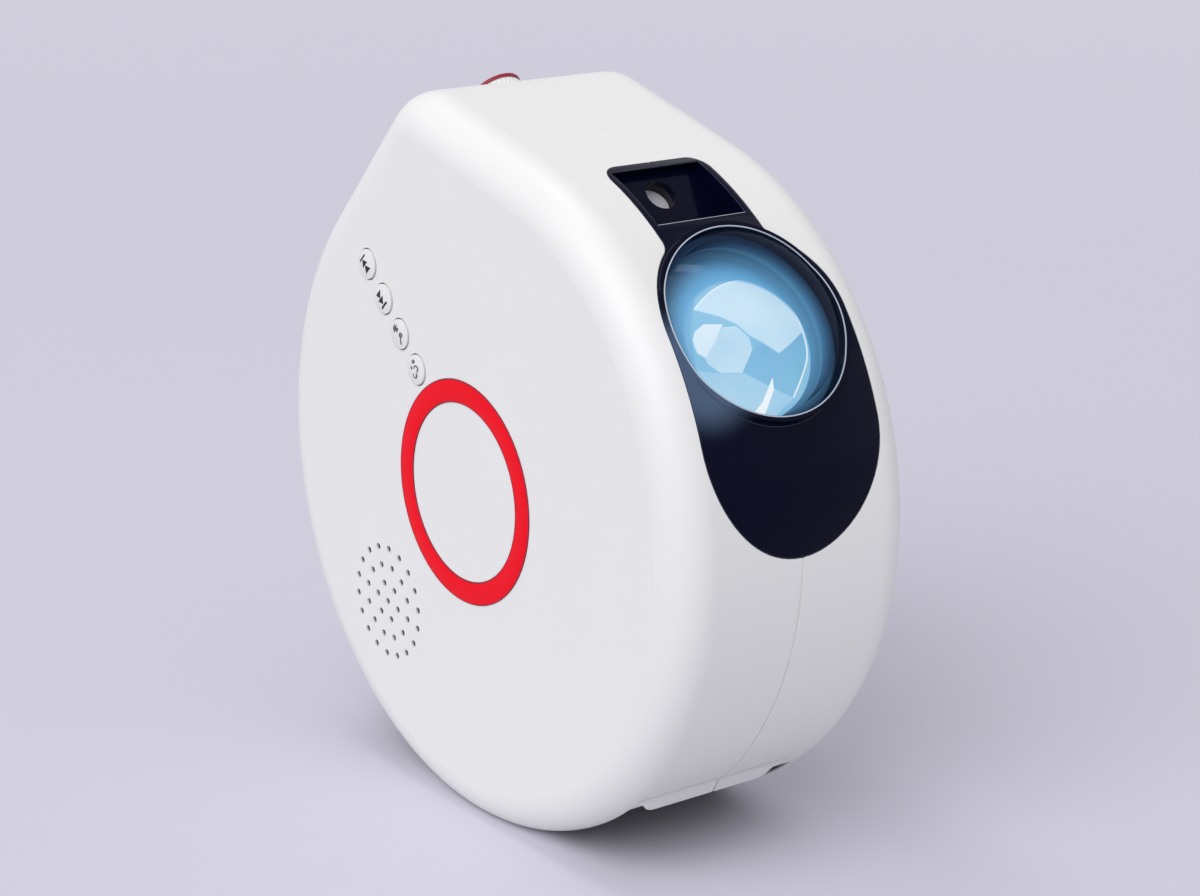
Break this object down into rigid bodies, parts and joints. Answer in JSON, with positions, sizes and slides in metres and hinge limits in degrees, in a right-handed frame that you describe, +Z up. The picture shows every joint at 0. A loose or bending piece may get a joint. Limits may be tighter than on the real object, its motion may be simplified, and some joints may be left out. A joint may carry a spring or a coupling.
{
  "type": "star projector",
  "caption": "Drum-shaped desk-top star and nebula projector with a clear dome lens, a laser window, push buttons, a speaker, an accent ring and a volume knob.",
  "frame": {"origin": "on the table, under the drum's axis, at the middle of the case's width", "axes": "+Z up, +X towards the plain right face, -Y towards the front panel"},
  "size_m": [0.0633, 0.154, 0.1599],
  "materials": {
    "white_plastic": "satin",
    "accent_red": "gloss",
    "gloss_black": "gloss",
    "black_plastic": "matte",
    "clear_dome": "polished",
    "clear_disc": "polished",
    "blue_lens": "moulded",
    "nylon": "satin",
    "brass": "turned",
    "steel": "plain",
    "board_green": "solder mask",
    "lamp_yellow": "phosphor",
    "bare_aluminium": "extruded",
    "foam_black": "foam",
    "speaker_black": "pressed paper",
    "dark_rubber": "matte"
  },
  "bodies": {
    "case": {"accent_ring": "accent_red", "base_sole": "dark_rubber", "board_parts": "black_plastic", "board_screws": "steel", "button_board": "board_green", "case_screws": "steel", "condenser_lens": "clear_disc", "dome_lens": "clear_dome", "dome_retainer": "black_plastic", "front_panel": "gloss_black", "heat_sink": "bare_aluminium", "inlet_nut": "steel", "lamp_housing": "black_plastic", "laser_holder": "black_plastic", "laser_module": "brass", "led_board": "board_green", "led_lamps": "lamp_yellow", "left_shell": "white_plastic", "lens_barrel": "black_plastic", "main_board": "board_green", "motor_bracket": "black_plastic", "pattern_lens": "blue_lens", "power_inlet": "black_plastic", "right_shell": "white_plastic", "speaker_cone": "speaker_black", "speaker_frame": "steel", "speaker_gasket": "foam_black", "speaker_magnet": "steel", "star_grating": "clear_disc", "tact_switches": "black_plastic", "volume_control": "steel", "wheel_motor": "steel"},
    "previous_key": {"button_previous": "white_plastic"},
    "next_key": {"button_next": "white_plastic"},
    "light_key": {"button_light": "white_plastic"},
    "rotate_key": {"button_rotate": "white_plastic"},
    "knob": {"volume_knob": "white_plastic", "knob_rim": "accent_red", "knob_shaft": "steel"},
    "wheel": {"wheel_gear": "nylon", "ripple_disc": "clear_disc"},
    "pinion": {"drive_pinion": "nylon", "motor_shaft": "steel"}
  },
  "joints": [
    {"name": "press_previous", "type": "slide", "parent": "case", "child": "previous_key", "axis": [1, 0, 0], "range_m": [0, 0.0008], "stiffness_N_per_m": 300, "springref_m": -0.002},
    {"name": "press_next", "type": "slide", "parent": "case", "child": "next_key", "axis": [1, 0, 0], "range_m": [0, 0.0008], "stiffness_N_per_m": 300, "springref_m": -0.002},
    {"name": "press_light", "type": "slide", "parent": "case", "child": "light_key", "axis": [1, 0, 0], "range_m": [0, 0.0008], "stiffness_N_per_m": 300, "springref_m": -0.002},
    {"name": "press_rotate", "type": "slide", "parent": "case", "child": "rotate_key", "axis": [1, 0, 0], "range_m": [0, 0.0008], "stiffness_N_per_m": 300, "springref_m": -0.002},
    {"name": "turn_volume", "type": "hinge", "parent": "case", "child": "knob", "pos_m": [0.0046, 0.03661, 0.15306], "axis": [0, 0.7242, 0.6896], "range_deg": [0, 300]},
    {"name": "spin_wheel", "type": "hinge", "parent": "case", "child": "wheel", "pos_m": [0, -0.04792, 0.11161], "axis": [0, -0.7986, 0.6018], "continuous": true},
    {"name": "spin_pinion", "type": "hinge", "parent": "case", "child": "pinion", "pos_m": [0, -0.06363, 0.09076], "axis": [0, -0.7986, 0.6018], "continuous": true}
  ],
  "couplings": [
    {"joint": "spin_pinion", "follows": "spin_wheel", "ratio": -2.25}
  ]
}
